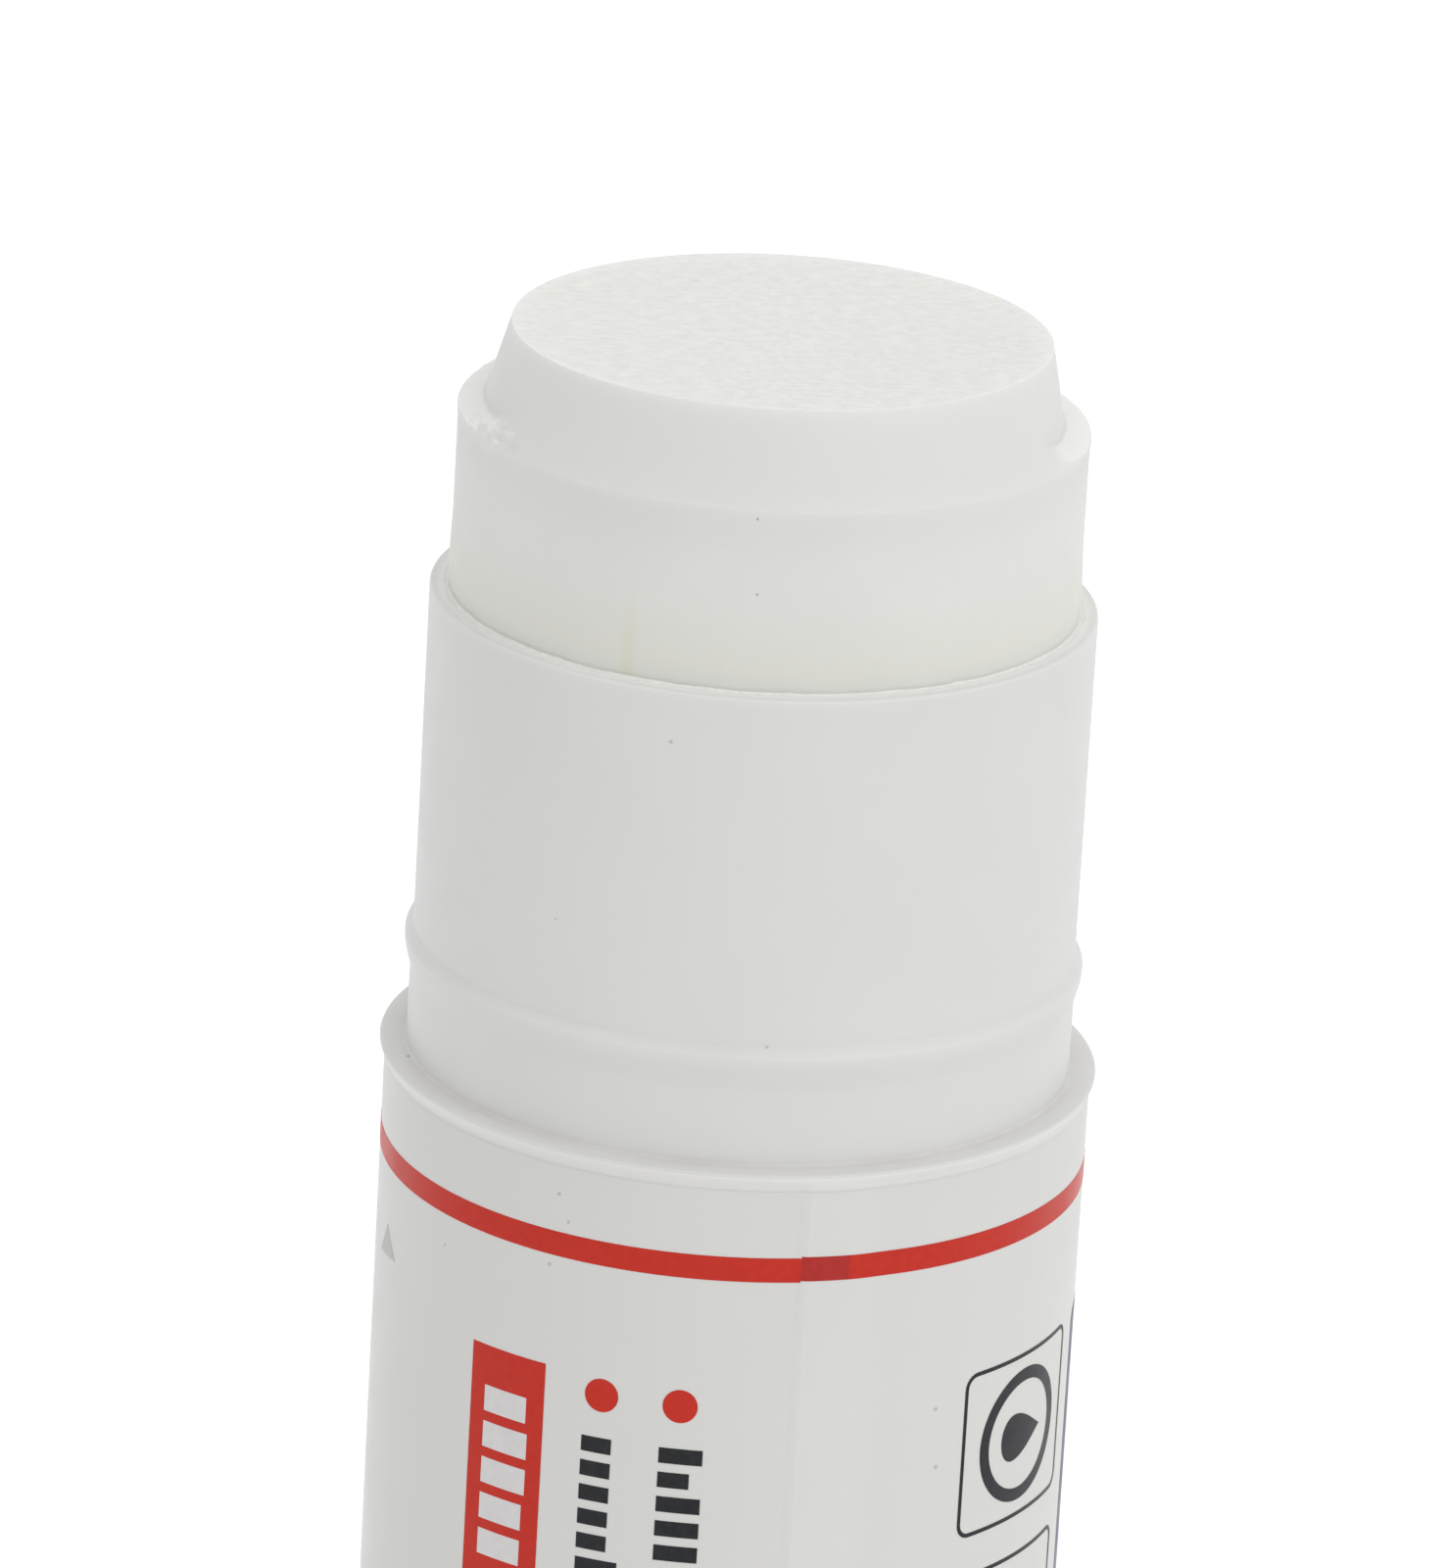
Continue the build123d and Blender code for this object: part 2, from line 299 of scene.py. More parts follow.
class Surface:
    """One procedural material: a principled shader and what feeds it."""

    def __init__(self, name, **settings):
        self.material = bpy.data.materials.new(name)
        self.material.use_nodes = True
        self.nodes = self.material.node_tree.nodes
        self.links = self.material.node_tree.links
        self.shader = value(self.nodes["Principled BSDF"], **settings)
        self.place = self.nodes.new("ShaderNodeTexCoord").outputs["Object"]

    def feed(self, output, node, name):
        """Links an output to a node's input by name."""
        self.links.new(output, node.inputs[name])

    def noise(self, size, detail=3.0, roughness=0.55, stretch=(1, 1, 1)):
        """Noise with features of about a size in millimetres, from 0 to 1."""
        mapping = self.nodes.new("ShaderNodeMapping")
        mapping.inputs["Scale"].default_value = [1 / (size * MM * s) for s in stretch]
        self.feed(self.place, mapping, "Vector")
        texture = self.nodes.new("ShaderNodeTexNoise")
        value(texture, Scale=1.0, Detail=detail, Roughness=roughness)
        self.feed(mapping.outputs["Vector"], texture, "Vector")
        return texture.outputs["Fac"]

    def steps(self, factor, low, high, to_low=0.0, to_high=1.0):
        """Maps a factor softly from one range to another, clamped."""
        node = self.nodes.new("ShaderNodeMapRange")
        node.interpolation_type = "SMOOTHSTEP"
        value(node, From_Min=low, From_Max=high, To_Min=to_low, To_Max=to_high)
        self.feed(factor, node, "Value")
        return node.outputs["Result"]

    def maths(self, operation, first, second):
        """A sum of two values, each a number or another node's output."""
        node = self.nodes.new("ShaderNodeMath")
        node.operation = operation
        for number, source in enumerate((first, second)):
            if isinstance(source, (int, float)):
                node.inputs[number].default_value = source
            else:
                self.links.new(source, node.inputs[number])
        return node.outputs["Value"]

    def blend(self, factor, first, second):
        """Mixes two colours, each three numbers or another node's output."""
        node = self.nodes.new("ShaderNodeMix")
        node.data_type = "RGBA"
        self.links.new(factor, node.inputs[0])
        for socket, source in ((node.inputs[6], first), (node.inputs[7], second)):
            if isinstance(source, tuple):
                socket.default_value = (*source, 1.0)
            else:
                self.links.new(source, socket)
        return node.outputs[2]

    def tinted(self, colour, tint, factor, strength):
        """Lays a tint on a colour where a factor is 1, at a strength from 0 to 1."""
        return self.blend(self.maths("MULTIPLY", factor, strength), colour, tint)

    def rise(self, factor, level, stretch):
        """0 to 1 over a stretch of the factor, a pair of values counted from a level."""
        return self.steps(factor, level + stretch[0], level + stretch[1])

    def fall(self, factor, level, stretch):
        """1 to 0 over a stretch of the factor, a pair of values counted from a level."""
        return self.steps(factor, level + stretch[0], level + stretch[1], 1.0, 0.0)

    def band(self, factor, level, rise, fall):
        """1 between a rise and a fall, each a stretch counted from a level, and 0 outside."""
        inner = self.rise(factor, level, rise)
        return self.maths("MULTIPLY", inner, self.fall(factor, level, fall))

    def facing_up(self, low, high):
        """0 below one slant of the surface and 1 above another, where 1 stands for level."""
        split = self.nodes.new("ShaderNodeSeparateXYZ")
        self.feed(self.nodes.new("ShaderNodeNewGeometry").outputs["Normal"], split, "Vector")
        return self.steps(split.outputs["Z"], low, high)

    def axis(self, letter):
        """A coordinate of the point on the object, in millimetres."""
        split = self.nodes.new("ShaderNodeSeparateXYZ")
        self.feed(self.place, split, "Vector")
        return self.maths("DIVIDE", split.outputs[letter], MM)

    def radius(self):
        """The point's distance from the stick's axis, in millimetres."""
        across = self.nodes.new("ShaderNodeVectorMath")
        across.operation = "MULTIPLY"
        across.inputs[1].default_value = (1, 1, 0)
        self.links.new(self.place, across.inputs[0])
        length = self.nodes.new("ShaderNodeVectorMath")
        length.operation = "LENGTH"
        self.links.new(across.outputs["Vector"], length.inputs[0])
        return self.maths("DIVIDE", length.outputs["Value"], MM)

    def near(self, point, reach, squash=(1, 1, 1)):
        """1 at a point in metres, falling to 0 at a reach in millimetres, longer where squashed."""
        flat = self.nodes.new("ShaderNodeVectorMath")
        flat.operation = "MULTIPLY"
        self.links.new(self.place, flat.inputs[0])
        flat.inputs[1].default_value = squash
        node = self.nodes.new("ShaderNodeVectorMath")
        node.operation = "DISTANCE"
        self.links.new(flat.outputs["Vector"], node.inputs[0])
        node.inputs[1].default_value = [p * s for p, s in zip(point, squash)]
        return self.steps(node.outputs["Value"], 0.0, reach * MM, 1.0, 0.0)

    def specks(self, spacing, size, share, core=0.6, edge=0.001):
        """1 in small specks, in a share of cells of a spacing in millimetres."""
        cells = self.nodes.new("ShaderNodeTexVoronoi")
        value(cells, Scale=1 / (spacing * MM), Randomness=1.0)
        self.feed(self.place, cells, "Vector")
        reach = size / spacing
        spot = self.steps(cells.outputs["Distance"], reach * core, reach, 1.0, 0.0)
        split = self.nodes.new("ShaderNodeSeparateColor")
        self.feed(cells.outputs["Color"], split, "Color")
        chosen = self.steps(split.outputs[0], 1 - share, 1 - share + edge)
        return self.maths("MULTIPLY", spot, chosen)

    def dirty(self, colour, places, radius, tint):
        """Lays a tiny stain on a colour at each (angle, height above the shoulder, size)."""
        for angle, up, size in places:
            spot = self.near(around(angle, radius, shoulder_z + up), size)
            colour = self.tinted(colour, tint, spot, stain_strength)
        return colour

    def bump(self, height, depth, under=None):
        """A bump of a depth in millimetres, on top of another one."""
        node = value(self.nodes.new("ShaderNodeBump"), Strength=1.0, Distance=depth * MM)
        self.feed(height, node, "Height")
        if under:
            self.feed(under, node, "Normal")
        return node.outputs["Normal"]


# Colours
stain = (0.30, 0.26, 0.22)
neck_stain = (0.34, 0.25, 0.18)
glue_stain = (0.12, 0.11, 0.11)
plastic_light = (0.735, 0.732, 0.725)
plastic_dark = (0.72, 0.717, 0.71)
# Painted light and shade on the barrel's lip: the flare painted lighter against its shade, the
# rounded edge and the top ring painted darker against the light they catch.
lip_side_painted_light = (0.785, 0.78, 0.76)
lip_edge_painted_shade = (0.675, 0.67, 0.655)
lip_top_painted_shade = (0.715, 0.71, 0.695)
# Dried glue smeared on the neck's rim, painted lighter than the glue as painted light against the
# shade beside the glue column.
rim_smear_and_painted_light = (0.92, 0.92, 0.90)
# A brownish darkening in the corner round the neck's root.
root_darkening_colour = (0.50, 0.44, 0.34)
crumb_colour = (0.20, 0.17, 0.13)
film_light = (0.74, 0.735, 0.715)
film_dark = (0.73, 0.725, 0.705)
glue_light = (0.78, 0.78, 0.76)
glue_dark = (0.765, 0.765, 0.745)
# Darker tone for a band just under the ledge, fading downwards.
under_ledge_darker_glue = (0.69, 0.69, 0.67)
# Painted shade: the tip is painted a little darker against the extra light its up-facing side gets.
tip_painted_shade = (0.75, 0.75, 0.735)
grain_light = (0.91, 0.915, 0.885)
# The grain's darker tone, laid in its pits: partly grain tone, partly painted shade.
grain_dark_and_pit_shade = (0.84, 0.845, 0.815)
# The ledge's pale torn glue, raised almost to white as painted light against the shade that the tip
# casts on it.
ledge_painted_light = (0.90, 0.90, 0.88)
foot_glue = (0.735, 0.73, 0.66)
# A lighter band on the glue round the neck's rim.
rim_band_glue = (0.80, 0.80, 0.745)
run_colour = (0.74, 0.69, 0.48)
crust_light = (0.83, 0.83, 0.80)
crust_dark = (0.76, 0.76, 0.73)

# Strengths of tints
dust_strength = 0.7
stain_strength = 0.6
root_darkening_strength = 0.17
under_ledge_strength = 0.3
foot_strength = 0.6
run_strength = 0.34

# Stretches of a noise, which lies between 0 and 1, and what they turn into
noise_middle = (0.3, 0.7)
wear_range = (0.25, 0.75)
patch_range = (0.35, 0.65)
patch_strength = (0.25, 1.0)
grain_range = (0.32, 0.68)
plastic_roughness = (0.37, 0.48)
film_roughness = (0.3, 0.38)
glue_roughness = (0.5, 0.62)

# Where tones rise and fall, counted from the shoulder, the neck's root, the rim, ledge or tip
# Where the lip's painted shade on its rounded edge and top ring rises
lip_edge_shade_rise = (-0.12, -0.05)
lip_top_shade_rise = (-0.02, -0.004)
tone_margin = 0.1
# Where the darkening round the neck's root rises, falls and spreads out
root_darkening_rise = (-0.06, -0.02)
root_darkening_fall = (0.02, 0.34)
root_darkening_spread = (0.05, 0.6)
rim_rise = (-0.1, -0.05)
under_ledge_rise = (-2.4, -0.3)
under_ledge_fall = (-0.2, 0.3)
tip_shade_rise = (-0.5, 0.0)
top_fall = (-2.0, -1.0)
foot_rise = (-3.0, -0.5)
foot_fall = (0.5, 4.0)
rim_band_rise = (-0.5, -0.1)
rim_band_fall = (0.0, 0.5)

# The upward slants between which the glue's smooth face turns into its torn one, 1 being level
torn_slant = (0.66, 0.97)

# Stains: (angle, height above the shoulder, size) of each
neck_stains = ((-14.4, 15.69, 0.12), (4.7, 4.55, 0.1), (-34.0, 8.2, 0.07))
glue_stains = ((-2.1, 24.0, 0.09), (-1.4, 21.22, 0.08), (31.0, 25.3, 0.05))
label_stains = (
    (-28.1, -1.74, 0.12),
    (-26.2, -2.74, 0.1),
    (-29.2, -4.52, 0.12),
    (-51.8, -5.31, 0.1),
    (37.3, -9.69, 0.14),
    (38.1, -12.0, 0.14),
)

# The yellow run of glue above the rim
run_angle = -24.3
run_up = 0.7
run_reach = 0.5
run_squash = (1, 1, 0.16)


def moulded_plastic(name):
    """Satin white moulded plastic with a faint mottle, a fine skin and a few specks of dust."""
    skin = Surface(name, IOR=1.5, Subsurface_Weight=0.3, Subsurface_Scale=0.6 * MM)
    value(skin.shader, Specular_IOR_Level=0.4, Subsurface_Radius=(1.0, 0.95, 0.9))
    mottle = skin.noise(size=9.0, detail=2.0)
    colour = skin.blend(skin.steps(mottle, *noise_middle), plastic_dark, plastic_light)
    dust = skin.specks(spacing=3.4, size=0.05, share=0.08)
    colour = skin.tinted(colour, stain, dust, dust_strength)
    skin.feed(colour, skin.shader, "Base Color")
    wear = skin.noise(size=1.6, detail=4.0)
    skin.feed(skin.steps(wear, *wear_range, *plastic_roughness), skin.shader, "Roughness")
    fine = skin.bump(skin.noise(size=0.12, detail=2.0), depth=0.0008)
    broad = skin.bump(skin.noise(size=5.0, detail=1.0), depth=0.01, under=fine)
    skin.feed(broad, skin.shader, "Normal")
    return skin


def barrel_plastic():
    """The barrel's plastic: painted light and shade on the lip, a glue smear on the rim painted
    lighter, and a brownish darkening at the neck's root.
    """
    skin = moulded_plastic("barrel_plastic")
    plain = skin.shader.inputs["Base Color"].links[0].from_socket
    height, radius = skin.axis("Z"), skin.radius()
    # Painted light and shade on the lip: the flare lighter, its rounded edge and top ring darker.
    edge = skin.rise(height, shoulder_z, lip_edge_shade_rise)
    lip_painted_tone = skin.blend(edge, lip_side_painted_light, lip_edge_painted_shade)
    flat = skin.rise(height, shoulder_z, lip_top_shade_rise)
    lip_painted_tone = skin.blend(flat, lip_painted_tone, lip_top_painted_shade)
    outside = skin.steps(radius, neck_root_r + tone_margin, recess_r)
    colour = skin.blend(outside, plain, lip_painted_tone)
    # Dried glue on the rim, painted lighter as painted light against the shade beside the glue
    # column.
    inside = skin.steps(radius, bore_r + tone_margin, neck_r - tone_margin, 1.0, 0.0)
    on_rim = skin.rise(height, rim_z, rim_rise)
    colour = skin.blend(skin.maths("MULTIPLY", inside, on_rim), colour, rim_smear_and_painted_light)
    # A patchy brownish darkening in the corner round the neck's root, with dark crumbs in it.
    low = skin.band(height, shoulder_z, root_darkening_rise, root_darkening_fall)
    ring = skin.maths("MULTIPLY", low, skin.fall(radius, neck_root_r, root_darkening_spread))
    patches = skin.noise(size=3.0, detail=4.0, roughness=0.6)
    root_darkening = skin.maths("MULTIPLY", ring, skin.steps(patches, *patch_range, *patch_strength))
    colour = skin.tinted(colour, root_darkening_colour, root_darkening, root_darkening_strength)
    crumbs = skin.maths("MULTIPLY", skin.specks(spacing=0.8, size=0.09, share=0.07), ring)
    colour = skin.blend(crumbs, colour, crumb_colour)
    colour = skin.dirty(colour, neck_stains, neck_r, neck_stain)
    skin.feed(colour, skin.shader, "Base Color")
    return skin.material


def label_film():
    """Satin white printed film, slightly soiled."""
    skin = Surface("label_film", IOR=1.5, Subsurface_Weight=0.15, Subsurface_Scale=0.4 * MM)
    value(skin.shader, Specular_IOR_Level=0.12, Subsurface_Radius=(1.0, 1.0, 1.0))
    mottle = skin.noise(size=12.0, detail=2.0)
    colour = skin.blend(skin.steps(mottle, *noise_middle), film_dark, film_light)
    soil = skin.specks(spacing=2.8, size=0.06, share=0.08)
    colour = skin.tinted(colour, stain, soil, dust_strength)
    colour = skin.dirty(colour, label_stains, label_r, stain)
    skin.feed(colour, skin.shader, "Base Color")
    wear = skin.noise(size=2.4, detail=5.0)
    skin.feed(skin.steps(wear, *noise_middle, *film_roughness), skin.shader, "Roughness")
    fine = skin.bump(skin.noise(size=0.3, detail=2.0), depth=0.0006)
    waves = skin.noise(size=6.0, detail=1.0, stretch=(1, 1, 3))
    skin.feed(skin.bump(waves, depth=0.006, under=fine), skin.shader, "Normal")
    return skin.material


def glue_wax():
    """Waxy off-white glue: grain on top, draw lines down the side and a yellower foot."""
    skin = Surface("glue_wax", IOR=1.45, Subsurface_Weight=0.6, Subsurface_Scale=1.2 * MM)
    value(skin.shader, Specular_IOR_Level=0.4, Subsurface_Radius=(1.0, 0.9, 0.75))
    mottle = skin.noise(size=6.0, detail=3.0)
    colour = skin.blend(skin.steps(mottle, *noise_middle), glue_dark, glue_light)
    height = skin.axis("Z")
    # A darker band just under the ledge, fading downwards.
    under_ledge_band = skin.band(height, ledge_z, under_ledge_rise, under_ledge_fall)
    colour = skin.tinted(colour, under_ledge_darker_glue, under_ledge_band, under_ledge_strength)
    # Painted shade on the tip, darker against the light its up-facing side gets.
    colour = skin.blend(skin.rise(height, ledge_z, tip_shade_rise), colour, tip_painted_shade)
    torn = skin.facing_up(*torn_slant)
    fibres = skin.noise(size=0.25, detail=4.0, roughness=0.6, stretch=(3.0, 1, 1))
    # The torn top's grain is darker in its pits, where the same noise dips the bump: grain tone and
    # painted shade.
    pale = skin.blend(skin.steps(fibres, *grain_range), grain_dark_and_pit_shade, grain_light)
    # The ledge: pale torn glue, raised almost to white as painted light against the tip's shade.
    pale = skin.blend(skin.fall(height, tip_z, top_fall), pale, ledge_painted_light)
    colour = skin.blend(torn, colour, pale)
    foot = skin.band(height, rim_z, foot_rise, foot_fall)
    colour = skin.tinted(colour, foot_glue, foot, foot_strength)
    # A lighter band on the glue round the neck's rim.
    rim_band_mask = skin.band(height, rim_z, rim_band_rise, rim_band_fall)
    colour = skin.blend(rim_band_mask, colour, rim_band_glue)
    run = skin.near(around(run_angle, glue_r, rim_z + run_up), run_reach, run_squash)
    colour = skin.tinted(colour, run_colour, run, run_strength)
    soil = skin.specks(spacing=4.0, size=0.05, share=0.08)
    colour = skin.tinted(colour, stain, soil, dust_strength)
    colour = skin.dirty(colour, glue_stains, glue_r, glue_stain)
    skin.feed(colour, skin.shader, "Base Color")
    wear = skin.noise(size=1.2, detail=4.0)
    skin.feed(skin.steps(wear, *noise_middle, *glue_roughness), skin.shader, "Roughness")
    fine = skin.bump(skin.maths("MULTIPLY", fibres, torn), depth=0.12)
    lines = skin.noise(size=0.7, detail=3.0, stretch=(1, 1, 25))
    skin.feed(skin.bump(lines, depth=0.006, under=fine), skin.shader, "Normal")
    return skin.material


def dried_glue():
    """The matt crust of glue that has dried on the neck's rim."""
    skin = Surface("dried_glue", IOR=1.45, Specular_IOR_Level=0.3, Roughness=0.6)
    lumps = skin.noise(size=0.3, detail=4.0)
    colour = skin.blend(skin.steps(lumps, *noise_middle), crust_dark, crust_light)
    skin.feed(colour, skin.shader, "Base Color")
    skin.feed(skin.bump(lumps, depth=0.01), skin.shader, "Normal")
    return skin.material


def printed_ink(name, colour, darker, shine=0.18):
    """Printed ink: one colour with the film's gloss and a slightly uneven lay."""
    skin = Surface(name, IOR=1.5, Specular_IOR_Level=shine)
    uneven = skin.steps(skin.noise(size=0.35, detail=4.0), *noise_middle)
    skin.feed(skin.blend(uneven, darker, colour), skin.shader, "Base Color")
    wear = skin.noise(size=1.4)
    skin.feed(skin.steps(wear, *noise_middle, *film_roughness), skin.shader, "Roughness")
    skin.feed(skin.bump(skin.noise(size=0.3), depth=0.0006), skin.shader, "Normal")
    return skin.material


# The label's outer surface, which the barrel's lip, the film and its ink all follow
def label_surface(angle):
    """The label's outer radius at an angle: a second layer at the lap, draped on to the first."""
    past = (angle - lap_from) % 360
    lap = 1 - smooth_step(lap_to - lap_from, lap_to - lap_from + lap_drape, past)
    before = past if past < 180 else past - 360
    rise = (before - lap_rise_from) / (lap_rise_to - lap_rise_from)
    if before < 0:
        lap = 1.0
    return label_r + film * lap * min(max(rise, 0.0), 1.0)


# Barrel
def barrel_section(angle):
    """The barrel's closed section at an angle: outside up, over the rim and down the bore."""
    on_rib = in_groove(angle, rib_width / 2, bore_r)
    rib_r = bore_r - rib_height if on_rib else bore_r
    recess_foot_z = barrel_foot_z + foot_lip_height
    recess_top_z = shoulder_z - top_lip_height
    bead_foot_z = shoulder_z + bead_up
    bead_top_z = bead_foot_z + bead_height
    bead_r = neck_r + bead_out
    rib_top_z = rim_z - rib_below_rim
    rib_foot_z = barrel_foot_z + rib_up
    groove_foot_z = barrel_foot_z + snap_groove_up
    foot = bend((lip_r - lip_round, barrel_foot_z + lip_round), lip_round, -90, 0, 5)
    lip_foot_r = label_surface(angle) + lip_proud
    flare = ease((lip_foot_r, shoulder_z - lip_flare_height), (lip_r, shoulder_z - lip_round), 8)
    lip = bend((lip_r - lip_round, shoulder_z - lip_round), lip_round, 0, 90, 6)[1:]
    root_centre = (neck_root_r + neck_root_fillet, shoulder_z + neck_root_fillet)
    root = bend(root_centre, neck_root_fillet, 270, 180, 6)
    ramp = ease((neck_root_r, bead_foot_z), (bead_r, bead_foot_z + bead_ramp), 8)
    step = ease((bead_r, bead_top_z - bead_step), (neck_r, bead_top_z), 8)
    outer_rim = bend((neck_r - neck_round, rim_z - neck_round), neck_round, 0, 90, 6)
    inner_centre = (bore_r + rim_inner_round, rim_z - rim_inner_round)
    inner_rim = bend(inner_centre, rim_inner_round, 90, 180, 4)
    return (
        foot
        + [(lip_r, recess_foot_z), (recess_r, recess_foot_z)]
        + [(recess_r, recess_top_z), (lip_foot_r, recess_top_z)]
        + flare
        + lip
        + root
        + ramp
        + step
        + outer_rim
        + inner_rim
        + [(bore_r, rib_top_z + rib_end_slope), (rib_r, rib_top_z)]
        + [(rib_r, rib_foot_z), (bore_r, rib_foot_z - rib_end_slope)]
        + [(bore_r, groove_foot_z + snap_groove_height)]
        + [(bore_r + snap_groove_out, groove_foot_z + snap_groove_height)]
        + [(bore_r + snap_groove_out, groove_foot_z), (bore_r, groove_foot_z)]
        + [(bore_r, barrel_foot_z)]
    )


barrel_edges = groove_edges(rib_width / 2, bore_r) + rise_angles
barrel_angles = ring_angles(barrel_steps, barrel_edges)
barrel = lathe("barrel_shell", barrel_angles, barrel_section, barrel_plastic())
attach(barrel, "barrel")
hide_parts("barrel")


# Glue
def angle_near_zero(angle):
    """The same angle between -180 and 180."""
    return (angle + 180) % 360 - 180


def filled(angle):
    """1 in front, where glue is smeared down over the ledge, and 0 where the ledge is open."""
    here = angle_near_zero(angle)
    return smooth_step(*filled_left, here) * (1 - smooth_step(*filled_right, here))


def edge_radius(angle):
    """The ledge's outer edge: level with the column in front, a little proud of it elsewhere."""
    return ledge_r + (glue_r - ledge_r) * filled(angle)


def leaning_tip_r(angle):
    """The tip's radius at the top, wider on the side that it leans to."""
    return tip_r + tip_lean * math.sin(math.radians(angle))


def tip_flank(angle):
    """The tip's side and ledge at an angle, from under the top's rim to the column's edge."""
    side_r, side_z = leaning_tip_r(angle), tip_z - tip_round
    centre = (root_r + root_fillet, ledge_z + ledge_rise + root_fillet)
    side = line((side_r, side_z), (root_r, centre[1]), 18)
    scoop = bend(centre, root_fillet, 180, 254, 8)
    slope = line(scoop[-1], (ledge_r - ledge_round, ledge_z + ledge_round), 10)[1:]
    edge = bend((ledge_r - ledge_round, ledge_z), ledge_round, 90, 0, 4)
    opened = side + scoop + slope + edge
    covered = []
    for k in range(len(opened)):
        share = k / (len(opened) - 1)
        out = (1 - smear_bulge) * share + smear_bulge * share * share
        covered.append((side_r + (glue_r - side_r) * out, side_z + (ledge_z - side_z) * share))
    mix = filled(angle)
    return [(a + (c - a) * mix, b + (d - b) * mix) for (a, b), (c, d) in zip(opened, covered)]


def glue_section(angle):
    """The glue's closed section at an angle: top face, tip, ledge, column, foot and hole."""
    rim_r = leaning_tip_r(angle)
    on_groove = in_groove(angle, rib_width / 2 + rib_clearance, glue_r)
    groove_r = bore_r - rib_height - rib_clearance if on_groove else swollen_r
    column_foot_z = glue_foot_z + foot_height
    hole_top_z = glue_foot_z + screw_hole_depth
    top = line((0, tip_z), (rim_r - tip_round, tip_z), top_steps)
    rim = bend((rim_r - tip_round, tip_z - tip_round), tip_round, 90, 20, 4)
    edge_r = edge_radius(angle)
    burr = ease((edge_r, ledge_z - ledge_round), (glue_r, ledge_z - ledge_burr), 4)
    column_top_z = ledge_z - ledge_burr - burr_margin
    column = line((glue_r, column_top_z), (glue_r, rim_z + swell_up), 12)
    swell = ease((glue_r, rim_z + swell_up), (swollen_r, rim_z + swell_foot_up), 8)
    grooved = line((groove_r, groove_top_z), (groove_r, column_foot_z), 20)
    section = top + rim + tip_flank(angle) + burr + column + swell
    section += [(swollen_r, groove_top_z + groove_end_slope)]
    section += grooved + [(groove_r, column_foot_z)]
    section += [(glue_r - foot_step, column_foot_z), (glue_r - foot_step, glue_foot_z)]
    section += [(screw_hole_r, glue_foot_z), (screw_hole_r, hole_top_z), (0, hole_top_z)]
    return [weathered(angle, r, z) for r, z in section]


def two_noises(place, size, finer_share):
    """Noise of a size in millimetres, with a share of a finer one on top."""
    return noise.noise(place / size) + finer_share * noise.noise(place / size * finer_times)


def weathered(angle, r, z):
    """Moves a point of the glue: grain and a sag on top, ridges and a tear on the ledge."""
    place = around(angle, r, z) / MM
    if z > tip_z - top_skin:
        inside = 1 - smooth_step(tip_r - grain_fade_from, tip_r - grain_fade_to, r)
        grain = two_noises(place, grain_size, grain_finer_share) - grain_down
        sag = noise.noise(place / sag_size) - 1.0
        return r, z + inside * (grain_depth * grain + sag_depth * sag)
    if z < ledge_z - weathered_down:
        return r, z
    off_ledge = abs(z - ledge_z - ledge_middle_up)
    on_ledge = 1 - smooth_step(ledge_fade_from, ledge_fade_to, off_ledge)
    on_ledge *= smooth_step(root_r + ledge_inner_from, root_r + ledge_inner_to, r)
    round_ledge = math.radians(angle) * ledge_r / ridge_size
    ridges = noise.noise(Vector((round_ledge, ridge_slant * r, SEED)))
    ridges *= ridge_depth * on_ledge * (1 - filled(angle))
    here = angle_near_zero(angle)
    torn = smooth_step(*tear_from, here) * (1 - smooth_step(*tear_to, here))
    torn *= on_ledge * smooth_step(root_r + tear_inner_from, root_r + tear_inner_to, r)
    tear = tear_depth * torn * two_noises(place, tear_size, tear_finer_share)
    rough = rough_depth * noise.noise(place / rough_size) * on_ledge
    return min(r + rough + tear * tear_out_share, swollen_r), z + ridges + tear


def residue_section(angle):
    """The closed section of the glue dried on the neck's rim, uneven round the stick."""
    place = around(angle, bore_r, 0) / MM
    lumps = residue_share * noise.noise(place / residue_size)
    finer = residue_finer_share * noise.noise(place / residue_finer_size)
    uneven = 1 + lumps + finer
    width, height = residue_width * uneven, residue_height * uneven
    hollow = bend((0, 0), 1, 180, 270, 6)
    slope = [(bore_r + width * (1 + x), rim_z + height * (1 + y)) for x, y in hollow]
    return [(bore_r, rim_z - residue_sunk)] + slope + [(bore_r + width, rim_z - residue_sunk)]


residue = lathe("glue_residue", ring_angles(residue_steps), residue_section, dried_glue())
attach(residue, "barrel")

glue_angles = ring_angles(glue_steps, groove_edges(rib_width / 2 + rib_clearance, glue_r))
glue = lathe("glue_column", glue_angles, glue_section, glue_wax())
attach(glue, "lift")
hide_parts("glue")


# Label
def label_section(angle):
    """The label film's closed section at an angle."""
    outer_r = label_surface(angle)
    inner_r = label_r - film
    film_top_z = label_top_z + label_margin - film_edge_gap
    return [
        (inner_r, label_foot_z),
        (outer_r - film_bevel, label_foot_z),
        (outer_r, label_foot_z + film_bevel),
        (outer_r, film_top_z),
        (inner_r, film_top_z),
    ]


white_film = label_film()
label_angles = ring_angles(label_steps, rise_angles)
label = lathe("label_film", label_angles, label_section, white_film)
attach(label, "barrel")
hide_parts("label_wrap")


# Printed marks: outlines in millimetres, round the label and up from the shoulder
def round_at(angle):
    """How far round the label an angle lies, in millimetres."""
    return label_r * math.radians(angle)


